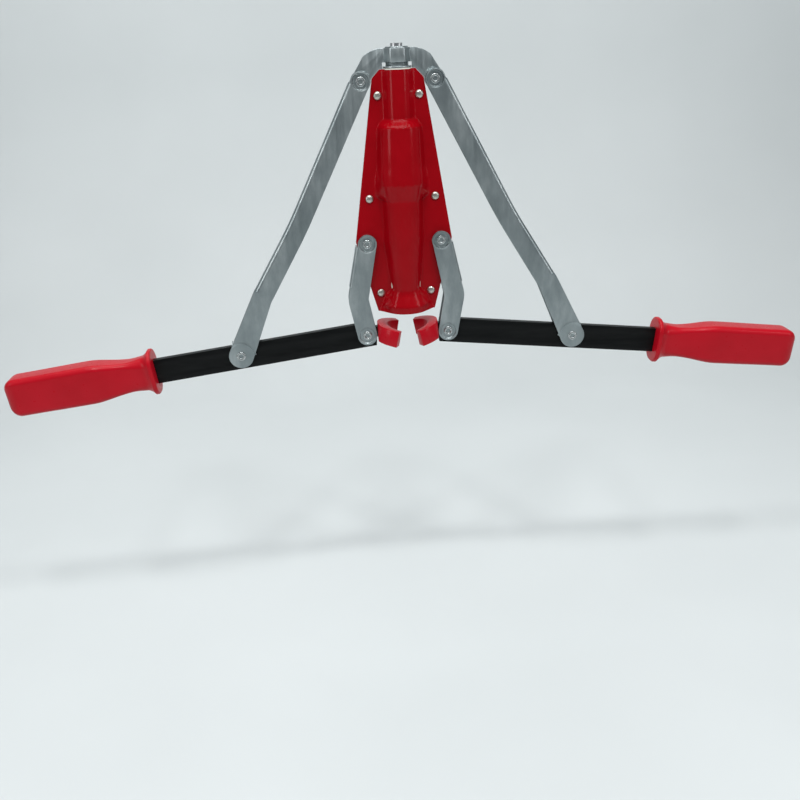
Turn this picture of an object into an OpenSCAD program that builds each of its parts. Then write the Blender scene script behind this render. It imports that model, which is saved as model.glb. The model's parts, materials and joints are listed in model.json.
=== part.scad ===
// Double lever wine corker: two handle levers drive a plunger down through a pressed steel body.
// Millimetres. +Z runs up the plunger, +X to the right-hand lever, -Y to the front.
// The origin is the centre of the bell mouth's rim, where the bottle goes in.

/* [Body shells] */
// Height of the pressed body
body_h = 160; // [140:1:190]
// Thickness of the shell sheet
sheet_t = 1.2; // [0.8:0.1:1.6]
// Half width of the flange at the top edge
top_half = 11.5; // [10:0.5:13]
// Half width of the flange under the top chamfer
chamfer_half = 16.7; // [15:0.1:17]
// Drop of the top chamfer
chamfer_drop = 5.3; // [4:0.1:8]
// Half width of the flange at its widest
wide_half = 33.2; // [31:0.2:38]
// Height of the widest place
wide_z = 49.4; // [44:0.2:56]
// Half width of the flange at the bottom edge
foot_half = 20.1; // [18.5:0.1:24]
// Outer radius of the rod channel pressed in each shell
neck_r = 9.2; // [9:0.1:10]
// Outer radius of the cork chamber at its top
chamber_top_r = 14.8; // [14:0.1:16]
// Outer radius of the cork chamber at its bottom
chamber_low_r = 16; // [15:0.1:17.5]
// Outer radius of the funnel channel at its top
funnel_top_r = 13.8; // [13.4:0.1:14.6]
// Outer radius of the funnel channel at its bottom
funnel_low_r = 11.6; // [11.4:0.1:12.6]
// Outer radius of the bell mouth
bell_r = 16.9; // [16.4:0.1:18.5]
// Height of the straight rim of the bell mouth
bell_rim_h = 4.6; // [3:0.1:6]
// Height at which the bell meets the funnel channel
bell_top_z = 14; // [12:0.5:18]
// Top of the lower shoulder
chamber_low_z = 89; // [84:0.5:92]
// Drop of the lower shoulder
low_shoulder_drop = 12; // [8:0.5:16]
// Bottom of the upper shoulder
chamber_top_z = 123; // [118:0.5:126]
// Rise of the upper shoulder
top_shoulder_rise = 8; // [6:0.5:12]
// Width of the cork loading window in the back shell
window_w = 27; // [26:0.5:28]
// Lowest point of the loading window
window_z = 53; // [52:0.5:58]
// Height of the loading window
window_h = 58; // [50:0.5:62]
// Corner radius of the loading window
window_r = 4; // [2:0.5:8]

/* [Shell rivets] */
// Radius of the shell rivets' shanks
shell_rivet_r = 1.5; // [1.2:0.1:1.8]
// Radius of their domed heads
shell_head_r = 2.9; // [2.5:0.1:3.2]
// Height of their domed heads
shell_head_h = 1.7; // [1.2:0.1:2.2]
// Distance of the top pair below the top edge
top_rivet_drop = 15.6; // [14:0.2:20]
// Distance of the middle pair above the widest place
mid_rivet_rise = 29; // [24:0.5:34]
// Distance of the bottom pair above the rim
low_rivet_rise = 13; // [11:0.2:16]
// Distance of the top pair inside the flange's edge
top_rivet_in = 4.7; // [4.4:0.1:4.8]
// Distance of the middle pair inside the flange's edge
mid_rivet_in = 6.3; // [5:0.1:6.5]
// Distance of the bottom pair inside the flange's edge
low_rivet_in = 6; // [5.4:0.1:7]

/* [Funnel and guide] */
// Radius of the bore that squeezes the cork
nozzle_r = 9; // [8.6:0.1:9.1]
// Length of the straight part of that bore
nozzle_len = 16; // [10:0.5:22]
// Top of the funnel insert
insert_top_z = 50; // [44:0.5:51]
// Wall of the funnel insert at its thin top edge
insert_edge_t = 0.8; // [0.6:0.1:1]
// Radius of the bottle socket in the bell
socket_r = 15.2; // [14.8:0.1:15.5]
// Thickness of the flange that the bottle's lip rests on
seat_t = 3; // [2:0.1:4]
// Length of the rod's guide bush inside the body
guide_len = 14; // [10:0.5:20]
// Thickness of the guide bush's collar
guide_collar_t = 0.8; // [0.6:0.1:1.2]

/* [Plunger] */
// Radius of the plunger rod
rod_r = 6.5; // [6.2:0.1:6.6]
// Height of the rod's tip when the handles are down
tip_z = 5.2; // [5:0.1:6]
// Radius of the threaded stud at the rod's top
stud_r = 4; // [3:0.1:4.5]
// Across-flats size of the nut and the lock nut
nut_af = 13; // [12:0.1:14]
// Thickness of the lock nut
lock_nut_t = 2.4; // [2:0.1:3]
// Height of the nut in the bridge
nut_h = 9.4; // [8.8:0.1:11]
// How far the stud stands out of the nut
stud_out = 2; // [1:0.1:4]
// Radius of the stop washer
washer_r = 9.3; // [9:0.1:9.6]
// Thickness of the stop washer
washer_t = 1; // [0.8:0.1:1.2]
// Thickness of each bridge plate
bridge_t = 1.5; // [1.3:0.1:1.7]
// Height of the bridge plates at the middle
bridge_h = 8.6; // [8:0.1:8.8]
// Half distance between the bridge's two pivots
bridge_half = 24.2; // [23.8:0.1:26]
// Depth of the bridge's pivots below the top of the body
bridge_drop = 6.5; // [5:0.1:7.5]
// Radius of the bridge's rounded ends
bridge_end_r = 6.1; // [5.6:0.1:6.2]
// Half length of the bridge's flat top edge
bridge_flat_half = 12; // [10:0.1:13]
// Half distance between the bridge's upper corners
bridge_corner_half = 17; // [15:0.1:18]
// Drop of those corners below the top edge
bridge_corner_drop = 1.4; // [1:0.1:2]
// Slope of the bridge's outer edges, in degrees
bridge_slope = 57.5; // [54:0.5:60]

/* [Levers] */
// Distance from the short link's pivot to the long link's pivot
lever_span = 90.9; // [84:0.1:98]
// Distance from the short link's pivot to the handle's collar
collar_at = 153; // [140:1:170]
// Droop of the levers at rest, in degrees
lever_droop = 6.65; // [5.5:0.05:8]
// Height of the long link's pivot above the middle of the lever bar
pivot_up = 1; // [0:0.1:1.4]
// Width of the lever bar
lever_w = 17.5; // [16.5:0.1:19]
// Thickness of the lever bar
lever_t = 5; // [4:0.1:5.4]
// Length of the bar's tang inside the handle
tang_len = 92; // [60:1:98]
// Half height of the tongue that enters the jaw
tongue_half = 3.6; // [3:0.1:4]
// Height of that tongue's middle above the middle of the bar
tongue_up = 1.2; // [0.6:0.1:1.6]

/* [Links] */
// Thickness of the links' sheet
link_t = 1.3; // [1.1:0.1:1.5]
// Half of the space inside the links' channel
link_gap = 3.6; // [3.4:0.1:4]
// Outer radius of the channel's bends
bend_r = 2.4; // [2:0.1:2.6]
// Distance of the short link's upper pivot inside the flange's edge
pivot_in = 7.6; // [7:0.1:8]
// Depth of that pivot below the widest place
pivot_low = 1.2; // [0:0.1:2]
// Height that the short link spans
short_drop = 65.3; // [60:0.1:72]
// How far the short link's lower pivot stands outside its upper one
short_out = 3.3; // [2:0.1:6]
// Distance of the short link's elbow below its upper pivot
short_elbow_at = 39.3; // [34:0.1:44]
// How far the short link's elbow bows outwards
short_bow = 6.4; // [5:0.1:8]
// Half width of the short link at its top
short_top_half = 6.3; // [6.1:0.1:6.6]
// Half width of the short link at its elbow
short_mid_half = 7; // [6.7:0.1:7.2]
// Half width of the short link at its bottom
short_low_half = 6.9; // [6.4:0.1:7]
// Distance of the long link's elbow above its lower pivot
long_elbow_at = 45; // [38:0.5:54]
// How far the long link's elbow bows outwards
long_bow = 2.8; // [2:0.1:4]
// Half width of the long link at its top
long_top_half = 6.2; // [6:0.1:6.4]
// Half width of the long link at its elbow
long_mid_half = 6.9; // [6.7:0.1:7.2]
// Half width of the long link at its bottom
long_low_half = 8.4; // [8.2:0.1:8.8]

/* [Pivots] */
// Radius of the pivot rivets' shanks
pin_r = 2.5; // [2.2:0.05:2.7]
// Radius of the pivot rivets' rolled heads
pin_head_r = 3.5; // [3.2:0.1:3.8]
// Height of those heads
pin_head_h = 0.9; // [0.6:0.1:1.2]
// Radius of the hole through each pivot rivet
pin_bore_r = 1.4; // [1:0.1:1.6]
// Running clearance of the pins and of the rod
run_clear = 0.06; // [0.03:0.01:0.09]
// Gap between flat faces that slide past each other
side_gap = 0.3; // [0.2:0.05:0.4]

/* [Jaws] */
// Inner radius of the jaws, round the bottle's neck
jaw_r = 14.4; // [14:0.1:15]
// Radius of the jaws' outer round less that of the neck
jaw_t = 4; // [3.6:0.1:4.4]
// How far the middle of the jaws' outer round stands off the neck's middle
jaw_off = 4.5; // [4:0.1:5]
// Height of the jaws
jaw_h = 11.2; // [10.4:0.1:12]
// Depth of the jaws' root below the rim
jaw_drop = 14.4; // [14:0.1:15]
// Slope of the jaws down to the neck, in degrees
jaw_slope = 13; // [0:1:15]
// Half angle that each jaw wraps
jaw_wrap = 66; // [55:1:70]
// Half length of the jaw rivets, which end under the surface
jaw_rivet_half = 7.6; // [6.6:0.1:7.8]
// Radius of the jaw rivets
jaw_rivet_r = 1.2; // [1:0.1:1.3]

/* [Handles] */
// Length of the handles
grip_len = 106.5; // [100:0.5:125]
// Half height of the handles' grip
grip_half = 14.2; // [13.4:0.1:16]
// Half height of the handles at the tail
tail_half = 13.9; // [13:0.1:15]
// Half height of the handles' neck
grip_neck_half = 11.1; // [10.8:0.1:12]
// How much thicker the neck is at its foot
neck_foot = 1.7; // [0.5:0.1:2]
// Half height of the handles' collar
collar_half = 16.4; // [15.5:0.1:18]
// Length of the collar's rim
collar_len = 2.6; // [2:0.1:4]
// Length over which the collar runs down to the neck
flare_len = 5; // [4:0.1:8]
// Thickness of the handles compared with their height
grip_flat = 0.7; // [0.6:0.01:0.8]
// Rounding of the handles' tail
tail_r = 9; // [6:0.5:11]

/* [Travel] */
// Turn of each lever on its short link, in degrees
lever_turn = 48; // [40:0.5:48]
// Lift of the plunger for each degree of that turn
lift_per_degree = 1.725; // [1.715:0.005:1.735]
// Outward swing of the short link for each degree of that turn
swing_share = 0.042; // [0.038:0.001:0.046]
// Inward turn of the long link for each degree of that turn
long_share = 0.1115; // [0.11:0.0005:0.113]

/* [Hidden] */

round_fn = 64;      // sides of a turned surface in the preview
eps = 0.01;         // overlap that keeps a cut clean
big = 400;          // longer than any piece

red_steel = [0.55, 0.04, 0.07];
red_plastic = [0.78, 0.07, 0.12];
zinc = [0.62, 0.67, 0.70];
nickel = [0.80, 0.78, 0.74];
black_paint = [0.03, 0.035, 0.04];
nylon = [0.88, 0.86, 0.80];
bright_steel = [0.75, 0.76, 0.77];

// ---- pivots of the right-hand side, as [x, z] ----
function turned(p, c, a) =
    [c.x + (p.x - c.x) * cos(a) - (p.y - c.y) * sin(a), c.y + (p.x - c.x) * sin(a) + (p.y - c.y) * cos(a)];
function unit(a, b) = (b - a) / norm(b - a);
function outward(a, b) = let (d = unit(a, b)) [-d.y, d.x];
function edge_half(z) = z > wide_z
    ? chamfer_half + (wide_half - chamfer_half)
        * (body_h - chamfer_drop - z) / (body_h - chamfer_drop - wide_z)
    : foot_half + (wide_half - foot_half) * z / wide_z;

body_pivot = [wide_half - pivot_in, wide_z - pivot_low];
lever_pivot = body_pivot + [short_out, -short_drop];
link_pivot = lever_pivot + lever_span * [cos(lever_droop), -sin(lever_droop)]
    + pivot_up * [sin(lever_droop), cos(lever_droop)];
bridge_pivot = [bridge_half, body_h - bridge_drop];
short_elbow = body_pivot + short_elbow_at * unit(body_pivot, lever_pivot)
    + short_bow * outward(body_pivot, lever_pivot);
long_elbow = link_pivot + long_elbow_at * unit(link_pivot, bridge_pivot)
    - long_bow * outward(link_pivot, bridge_pivot);

// ---- path of the long link's pin seen from the turning lever ----
travel_steps = 16;
function pin_seen(f) =
    let (turn = f * lever_turn, swing = turn * swing_share,
         hole = turned(turned(link_pivot, lever_pivot, turn), body_pivot, swing),
         pin = turned(link_pivot, bridge_pivot, -turn * long_share) + [0, turn * lift_per_degree])
    turned(pin - hole, [0, 0], lever_droop - turn - swing);
pin_path = [for (i = [0 : travel_steps]) pin_seen(i / travel_steps)];
slot_play = 0.15;     // room round the pin along its whole path
slot_r = pin_r + slot_play;
slot_low = [min([for (p = pin_path) p.x]), min([for (p = pin_path) p.y])];
slot_high = [max([for (p = pin_path) p.x]), max([for (p = pin_path) p.y])];

// ---- derived sizes ----
seat_z = bell_rim_h + 0.4;
funnel_gap = 0.1;
stop_gap = 0.2;
washer_z = body_h + guide_collar_t + stop_gap;
lock_nut_z = washer_z + washer_t;
nut_z = lock_nut_z + lock_nut_t;
lever_half_t = lever_t / 2;
head_gap = 0.1;      // play under a rolled head that stays with the body or the bridge
link_out = link_gap + link_t;
jaw_mid_z = -jaw_drop;
jaw_out_r = jaw_r + jaw_t;
root_x = lever_pivot.x - short_low_half - 0.6;
tongue_x = jaw_r + 2.6;
jaw_rivet_x = root_x - 1.8;
jaw_rivet_z = jaw_mid_z - (root_x - jaw_rivet_x) * tan(jaw_slope);

// Outer radius of the pressed channel, from the top edge to the rim, as [r, z]
channel = [
    [neck_r, body_h],
    [neck_r, chamber_top_z + top_shoulder_rise],
    [chamber_top_r, chamber_top_z],
    [chamber_low_r, chamber_low_z],
    [funnel_top_r, chamber_low_z - low_shoulder_drop],
    [funnel_low_r, bell_top_z],
    [bell_r, bell_rim_h],
    [bell_r, 0]
];
function funnel_r(z) = funnel_low_r + (funnel_top_r - funnel_low_r)
    * (z - bell_top_z) / (chamber_low_z - low_shoulder_drop - bell_top_z);

// ---- shared shapes ----
// A flat outline in the X-Z plane, made solid from y0 to y1
module plate(y0, y1) {
    translate([0, y1, 0]) rotate([90, 0, 0]) linear_extrude(height = y1 - y0) children();
}
// A round bar along Y at a pivot
module cross_bar(p, r, y0, y1) {
    translate([p.x, y1, p.y]) rotate([90, 0, 0]) cylinder(r = r, h = y1 - y0, $fn = round_fn);
}
module both_sides() {
    children();
    mirror([1, 0, 0]) children();
}
// Children drawn along +X from the lever's pivot, turned to the lever's droop
module on_lever() {
    translate([lever_pivot.x, 0, lever_pivot.y]) rotate([0, lever_droop, 0]) children();
}
// A band through three points, wider or narrower at each, with round ends
module band(points, halves) {
    for (i = [0 : len(points) - 2])
        let (a = points[i], b = points[i + 1], n = outward(a, b))
            polygon([a + n * halves[i], b + n * halves[i + 1], b - n * halves[i + 1], a - n * halves[i]]);
    for (i = [0 : len(points) - 1]) translate(points[i]) circle(r = halves[i], $fn = round_fn);
}
// One tubular pivot rivet; each rolled head lies on a face at y = seat or y = -seat
module pivot_rivet(p, seat) {
    difference() {
        union() {
            cross_bar(p, pin_r, -seat - eps, seat + eps);
            for (s = [-1, 1]) translate([p.x, s * seat, p.y]) rotate([-90 * s, 0, 0]) rolled_head();
        }
        cross_bar(p, pin_bore_r, -big, big);
    }
}
// Head of a tubular rivet: a flat ring under a rounded crown
module rolled_head() {
    crown_r = pin_head_h * 0.6;
    cylinder(r = pin_head_r, h = pin_head_h - crown_r, $fn = round_fn);
    translate([0, 0, pin_head_h - crown_r])
        cylinder(r1 = pin_head_r, r2 = pin_head_r - crown_r, h = crown_r, $fn = round_fn);
}
// Dome of radius r and height h on the plane z = 0
module dome(r, h) {
    ball_r = (r * r + h * h) / (2 * h);
    intersection() {
        translate([0, 0, h - ball_r]) sphere(r = ball_r, $fn = round_fn);
        cylinder(r = r, h = 2 * h, $fn = round_fn);
    }
}

// ---- body ----
module channel_solid(shrink) {
    rotate_extrude($fn = round_fn)
        polygon(concat(
            [[0, 0 - shrink], [0, body_h + shrink]],
            [for (i = [0 : len(channel) - 1]) let (p = channel[i])
                [p.x - shrink, i == 0 ? p.y + shrink : (i == len(channel) - 1 ? p.y - shrink : p.y)]]));
}
module flange_outline() {
    side = [[top_half, body_h], [chamfer_half, body_h - chamfer_drop], [wide_half, wide_z], [foot_half, 0]];
    polygon(concat(side, [for (i = [3 : -1 : 0]) [-side[i].x, side[i].y]]));
}
function rivet_places() = [
    [edge_half(body_h - top_rivet_drop) - top_rivet_in, body_h - top_rivet_drop],
    [edge_half(wide_z + mid_rivet_rise) - mid_rivet_in, wide_z + mid_rivet_rise],
    [edge_half(low_rivet_rise) - low_rivet_in, low_rivet_rise]
];
// One pressed half of the body, on the +Y side of the seam
module shell_half() {
    difference() {
        union() {
            plate(0, sheet_t) flange_outline();
            intersection() {
                channel_solid(0);
                translate([-big / 2, 0, 0]) cube([big, big, body_h]);
            }
        }
        channel_solid(sheet_t);
        both_sides() {
            for (p = rivet_places()) cross_bar(p, shell_rivet_r + run_clear, -big, big);
            cross_bar(body_pivot, pin_r + run_clear, -big, big);
        }
    }
}
module front_shell() {
    color(red_steel) mirror([0, 1, 0]) shell_half();
}
module window_outline() {
    low = window_z + window_r;
    high = window_z + window_h - window_r;
    side = window_w / 2 - window_r;
    for (x = [-side, side], z = [low, high]) translate([x, z]) circle(r = window_r, $fn = round_fn);
    translate([-window_w / 2, low]) square([window_w, high - low]);
    translate([-side, window_z]) square([2 * side, window_h]);
}
module back_shell() {
    color(red_steel) difference() {
        shell_half();
        plate(sheet_t + eps, big) window_outline();
    }
}
module shell_rivets() {
    color(nickel) both_sides() for (p = rivet_places()) {
        cross_bar(p, shell_rivet_r, -sheet_t - eps, sheet_t + eps);
        translate([p.x, -sheet_t, p.y]) rotate([90, 0, 0]) dome(shell_head_r, shell_head_h);
        translate([p.x, sheet_t, p.y]) rotate([-90, 0, 0]) dome(shell_head_r, shell_head_h * 0.6);
    }
}
module body_pivot_rivets() {
    color(nickel) both_sides() pivot_rivet(body_pivot, sheet_t + side_gap + link_t + head_gap);
}
module cork_funnel() {
    wall_gap = sheet_t + funnel_gap;
    cone_low_z = seat_z + nozzle_len;
    color(nylon) rotate_extrude($fn = round_fn) polygon([
        [nozzle_r, seat_z],
        [socket_r, seat_z],
        [funnel_low_r - wall_gap, bell_top_z - 0.2],
        [funnel_r(insert_top_z) - wall_gap, insert_top_z],
        [funnel_r(insert_top_z) - wall_gap - insert_edge_t, insert_top_z],
        [nozzle_r, cone_low_z]
    ]);
}
module guide_bush() {
    color(nylon) difference() {
        union() {
            translate([0, 0, body_h - guide_len])
                cylinder(r = neck_r - sheet_t - funnel_gap, h = guide_len + eps, $fn = round_fn);
            translate([0, 0, body_h]) cylinder(r = neck_r, h = guide_collar_t, $fn = round_fn);
        }
        translate([0, 0, -eps]) cylinder(r = rod_r + run_clear, h = big, $fn = round_fn);
    }
}

// ---- plunger ----
module plunger_rod() {
    tip_chamfer = 0.8;
    color(bright_steel) {
        translate([0, 0, tip_z])
            cylinder(r1 = rod_r - tip_chamfer, r2 = rod_r, h = tip_chamfer, $fn = round_fn);
        translate([0, 0, tip_z + tip_chamfer])
            cylinder(r = rod_r, h = washer_z - tip_z - tip_chamfer, $fn = round_fn);
        translate([0, 0, washer_z - eps])
            cylinder(r = stud_r, h = nut_z + nut_h + stud_out - washer_z, $fn = round_fn);
    }
}
module stop_washer() {
    color(zinc) ring(washer_r, washer_z, washer_t);
}
module ring(r, z, h) {
    translate([0, 0, z]) difference() {
        cylinder(r = r, h = h, $fn = round_fn);
        translate([0, 0, -eps]) cylinder(r = stud_r + run_clear, h = h + 2 * eps, $fn = round_fn);
    }
}
module hex_nut(z, h) {
    translate([0, 0, z]) difference() {
        cylinder(r = nut_af / 2 / cos(30), h = h, $fn = 6);
        translate([0, 0, -eps]) cylinder(r = stud_r + run_clear, h = h + 2 * eps, $fn = round_fn);
    }
}
module lock_nut() {
    color(zinc) hex_nut(lock_nut_z, lock_nut_t);
}
module bridge_nut() {
    color(zinc) hex_nut(nut_z, nut_h);
}
// Half outline of a bridge plate, right of the middle
module bridge_arm_outline() {
    top_z = nut_z + bridge_h;
    arm_dir = [cos(bridge_slope), -sin(bridge_slope)];
    n = [-arm_dir.y, arm_dir.x];
    out = bridge_pivot + n * bridge_end_r;
    inn = bridge_pivot - n * bridge_end_r;
    rise = (top_z - 3 * bridge_corner_drop - out.y) / -arm_dir.y;
    polygon([
        [0, nut_z], [washer_r + 0.4, nut_z], [washer_r + 0.4, body_h + 0.5], [top_half + 0.4, body_h + 0.5],
        [chamfer_half + 0.4, body_h - chamfer_drop + 0.4], inn, out,
        out - arm_dir * rise, [bridge_corner_half, top_z - bridge_corner_drop],
        [bridge_flat_half, top_z], [0, top_z]
    ]);
    translate(bridge_pivot) circle(r = bridge_end_r, $fn = round_fn);
}
// One pressed bridge plate, on the +Y side of the seam
module bridge_half_plate() {
    hex_in = nut_af / 2 / cos(30) + 0.06;
    hex_out = hex_in + bridge_t / cos(30);
    top_z = nut_z + bridge_h;
    difference() {
        union() {
            plate(0, bridge_t) both_arms();
            translate([0, 0, nut_z]) intersection() {
                cylinder(r = hex_out, h = bridge_h, $fn = 6);
                translate([-big / 2, 0, 0]) cube([big, big, bridge_h]);
            }
        }
        translate([0, 0, nut_z - eps]) cylinder(r = hex_in, h = bridge_h + 2 * eps, $fn = 6);
        both_sides() cross_bar(bridge_pivot, pin_r + run_clear, -big, big);
    }
}
module both_arms() {
    bridge_arm_outline();
    mirror([1, 0]) bridge_arm_outline();
}
module bridge_front() {
    color(zinc) mirror([0, 1, 0]) bridge_half_plate();
}
module bridge_back() {
    color(zinc) bridge_half_plate();
}
module bridge_pivot_rivets() {
    color(nickel) both_sides() pivot_rivet(bridge_pivot, bridge_t + side_gap + link_t + head_gap);
}

// ---- links ----
// A folded link: two walls, folds along the outer edge, and dished pivots.
// Each fold is [first point, second point, start, end], with both measured from the first point.
// Each dish is [pivot, radius, how far its inner face stands from the middle]
module folded_link(points, halves, web_out, folds, dishes) {
    difference() {
        union() {
            for (s = [0, 1]) mirror([0, s, 0]) plate(link_gap, link_out) difference() {
                band(points, halves);
                for (f = folds) web_clear(f, web_out);
            }
            for (f = folds) web(f, web_out);
            for (d = dishes) for (s = [0, 1]) mirror([0, s, 0])
                cross_bar(d[0], d[1] + 0.3, d[2], link_gap + link_t / 2);
        }
        for (d = dishes) {
            for (s = [0, 1]) mirror([0, s, 0]) cross_bar(d[0], d[1], d[2] + link_t, big);
            cross_bar(d[0], pin_r + run_clear, -big, big);
        }
    }
}
// Room cut in the flat walls where the channel's rounded fold stands
module web_clear(f, web_out) {
    d = unit(f[0], f[1]);
    n = outward(f[0], f[1]);
    a = f[0] + d * f[2] + n * (web_out - bend_r);
    b = f[0] + d * f[3] + n * (web_out - bend_r);
    polygon([a, b, b + n * 2 * web_out, a + n * 2 * web_out]);
}
// The fold itself: a U-shaped section carried along the outer edge
module web(f, web_out) {
    d = unit(f[0], f[1]);
    slant = atan2(d.x, -d.y);
    translate([f[0].x, 0, f[0].y]) rotate([0, -slant, 0]) rotate([180, 0, 0])
        translate([0, 0, f[2]]) linear_extrude(height = f[3] - f[2]) fold_section(web_out);
}
module fold_section(web_out) {
    difference() {
        rounded_strip(web_out, link_out, bend_r);
        rounded_strip(web_out - link_t, link_gap, bend_r - link_t);
        translate([-big + web_out - bend_r, -big / 2]) square([big, big]);
    }
}
// A block ending at x = edge with its two corners there rounded
module rounded_strip(edge, half, r) {
    translate([edge - 4 * bend_r, -half]) square([4 * bend_r - r, 2 * half]);
    translate([edge - 2 * r, -half + r]) square([2 * r, 2 * (half - r)]);
    for (s = [-1, 1]) translate([edge - r, s * (half - r)]) circle(r = r, $fn = round_fn);
}
module short_link() {
    up_len = norm(short_elbow - body_pivot);
    folded_link([body_pivot, short_elbow, lever_pivot], [short_top_half, short_mid_half, short_low_half],
        short_mid_half + 0.6, [[body_pivot, short_elbow, short_top_half / 2, up_len - short_mid_half - 1]],
        [[body_pivot, short_top_half - 1.1, sheet_t + side_gap],
         [lever_pivot, short_low_half - 1.6, lever_half_t + side_gap]]);
}
module long_link() {
    up_len = norm(long_elbow - bridge_pivot);
    folded_link([bridge_pivot, long_elbow, link_pivot], [long_top_half, long_mid_half, long_low_half],
        long_mid_half + 0.25,
        [[bridge_pivot, long_elbow, 0.65 * long_top_half, up_len - 0.65 * long_mid_half]],
        [[bridge_pivot, long_top_half - 1.1, bridge_t + side_gap],
         [link_pivot, long_low_half + eps, lever_half_t + side_gap]]);
}
module lever_rivet() {
    pivot_rivet(lever_pivot, lever_half_t + side_gap + link_t);
}
module link_rivet() {
    pivot_rivet(link_pivot, lever_half_t + side_gap + link_t);
}

// ---- levers, jaws and handles ----
module lever_outline() {
    half = lever_w / 2;
    shoulder = root_x - lever_pivot.x + 2.2;
    neck = shoulder - 1.4;
    tongue_end = tongue_x - lever_pivot.x;
    polygon([
        [tongue_end, tongue_up - tongue_half], [neck, tongue_up - tongue_half],
        [shoulder, -half], [collar_at + tang_len, -half], [collar_at + tang_len, half],
        [shoulder, half], [neck, tongue_up + tongue_half], [tongue_end, tongue_up + tongue_half]
    ]);
}
module lever() {
    difference() {
        on_lever() difference() {
            plate(-lever_half_t, lever_half_t) lever_outline();
            plate(-big, big) translate([lever_span, pivot_up]) pin_slot();
        }
        cross_bar(lever_pivot, pin_r + run_clear, -big, big);
        cross_bar([jaw_rivet_x, jaw_rivet_z], jaw_rivet_r + run_clear, -big, big);
    }
}
// Slot that gives the long link's pin the room of its whole path
module pin_slot() {
    for (x = [slot_low.x, slot_high.x], y = [slot_low.y, slot_high.y])
        translate([x, y]) circle(r = slot_r, $fn = round_fn);
    polygon([
        [slot_low.x - slot_r, slot_low.y], [slot_low.x, slot_low.y - slot_r],
        [slot_high.x, slot_low.y - slot_r], [slot_high.x + slot_r, slot_low.y],
        [slot_high.x + slot_r, slot_high.y], [slot_high.x, slot_high.y + slot_r],
        [slot_low.x, slot_high.y + slot_r], [slot_low.x - slot_r, slot_high.y]
    ]);
}
// A sloping band round the neck, thickest at the root where the lever enters it
module jaw() {
    difference() {
        translate([root_x, 0, jaw_mid_z]) rotate([0, -jaw_slope, 0]) translate([-root_x, 0, -jaw_h / 2])
            linear_extrude(height = jaw_h) jaw_outline();
        translate([root_x, -big / 2, -big / 2]) cube([big, big, big]);
        cylinder(r = jaw_r, h = big, center = true, $fn = round_fn);
        on_lever() plate(-lever_half_t - run_clear, lever_half_t + run_clear) tongue_pocket();
        cross_bar([jaw_rivet_x, jaw_rivet_z], jaw_rivet_r + run_clear,
            -jaw_rivet_half - eps, jaw_rivet_half + eps);
    }
}
module jaw_outline() {
    reach = 2 * jaw_out_r;
    intersection() {
        translate([jaw_off, 0]) circle(r = jaw_out_r, $fn = round_fn);
        polygon([[0, 0], reach * [cos(jaw_wrap), -sin(jaw_wrap)], [reach, -reach], [reach, reach],
            reach * [cos(jaw_wrap), sin(jaw_wrap)]]);
    }
}
module tongue_pocket() {
    tongue_end = tongue_x - lever_pivot.x - run_clear;
    half = tongue_half + run_clear;
    translate([tongue_end, tongue_up - half]) square([4 * jaw_t, 2 * half]);
}
module jaw_rivet() {
    cross_bar([jaw_rivet_x, jaw_rivet_z], jaw_rivet_r, -jaw_rivet_half, jaw_rivet_half);
}
swell_at = 0.17 * grip_len;      // where the neck starts to swell into the grip
swell_len = 0.27 * grip_len;    // length of that swell
taper_at = 0.45 * grip_len;      // where the grip starts to taper to the tail
rim_round = 0.3 * collar_len;   // chamfer of the collar's rim
// Smooth step from 0 to 1
function ease(t) = let (c = min(max(t, 0), 1)) c * c * (3 - 2 * c);
// Half height of the handle at distance s from its collar face
function grip_height(s) =
    let (waist = grip_neck_half + (grip_half - grip_neck_half) * ease((s - swell_at) / swell_len)
             - (grip_half - tail_half) * ease((s - taper_at) / taper_at),
         flare = (collar_half - grip_neck_half - neck_foot) * (1 - ease((s - collar_len) / flare_len))
             + neck_foot * (1 - ease((s - collar_len) / (swell_at - collar_len))),
         tail = s - (grip_len - tail_r))
    waist + flare - (tail > 0 ? tail_r - sqrt(max(tail_r * tail_r - tail * tail, 0)) : 0)
        - max(rim_round - s, 0);
// Rings from the collar's face to the tail, close together where the form turns
grip_rings = concat(
    [0, rim_round, collar_len / 2],
    [for (i = [0 : 8]) collar_len + (swell_at - collar_len) * i / 8],
    [for (i = [1 : 12]) swell_at + (grip_len - 1.5 * tail_r - swell_at) * i / 12],
    [for (a = [0 : 15 : 80]) grip_len - tail_r + tail_r * sin(a)],
    [grip_len]
);
grip_sides = 32;
// Ring point of a rounded box section
function box_point(a, half, power) = [
    half * grip_flat * sign(cos(a)) * pow(abs(cos(a)), 2 / power),
    half * sign(sin(a)) * pow(abs(sin(a)), 2 / power)
];
// Squareness of the section: rounder at the collar than along the grip
function box_power(s) = 2.6 + 0.8 * ease(s / swell_at);
module handle() {
    points = [for (s = grip_rings) for (i = [0 : grip_sides - 1])
        let (q = box_point(i * 360 / grip_sides, grip_height(s), box_power(s))) [collar_at + s, q.x, q.y]];
    rings = len(grip_rings);
    sides = [for (r = [0 : rings - 2]) for (i = [0 : grip_sides - 1])
        let (a = r * grip_sides + i, b = r * grip_sides + (i + 1) % grip_sides)
        [a, b, b + grip_sides, a + grip_sides]];
    caps = [[for (i = [grip_sides - 1 : -1 : 0]) i],
        [for (i = [0 : grip_sides - 1]) (rings - 1) * grip_sides + i]];
    on_lever() difference() {
        polyhedron(points = points, faces = concat(sides, caps));
        translate([collar_at - eps, -lever_half_t, -lever_w / 2]) cube([tang_len + eps, lever_t, lever_w]);
    }
}

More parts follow.
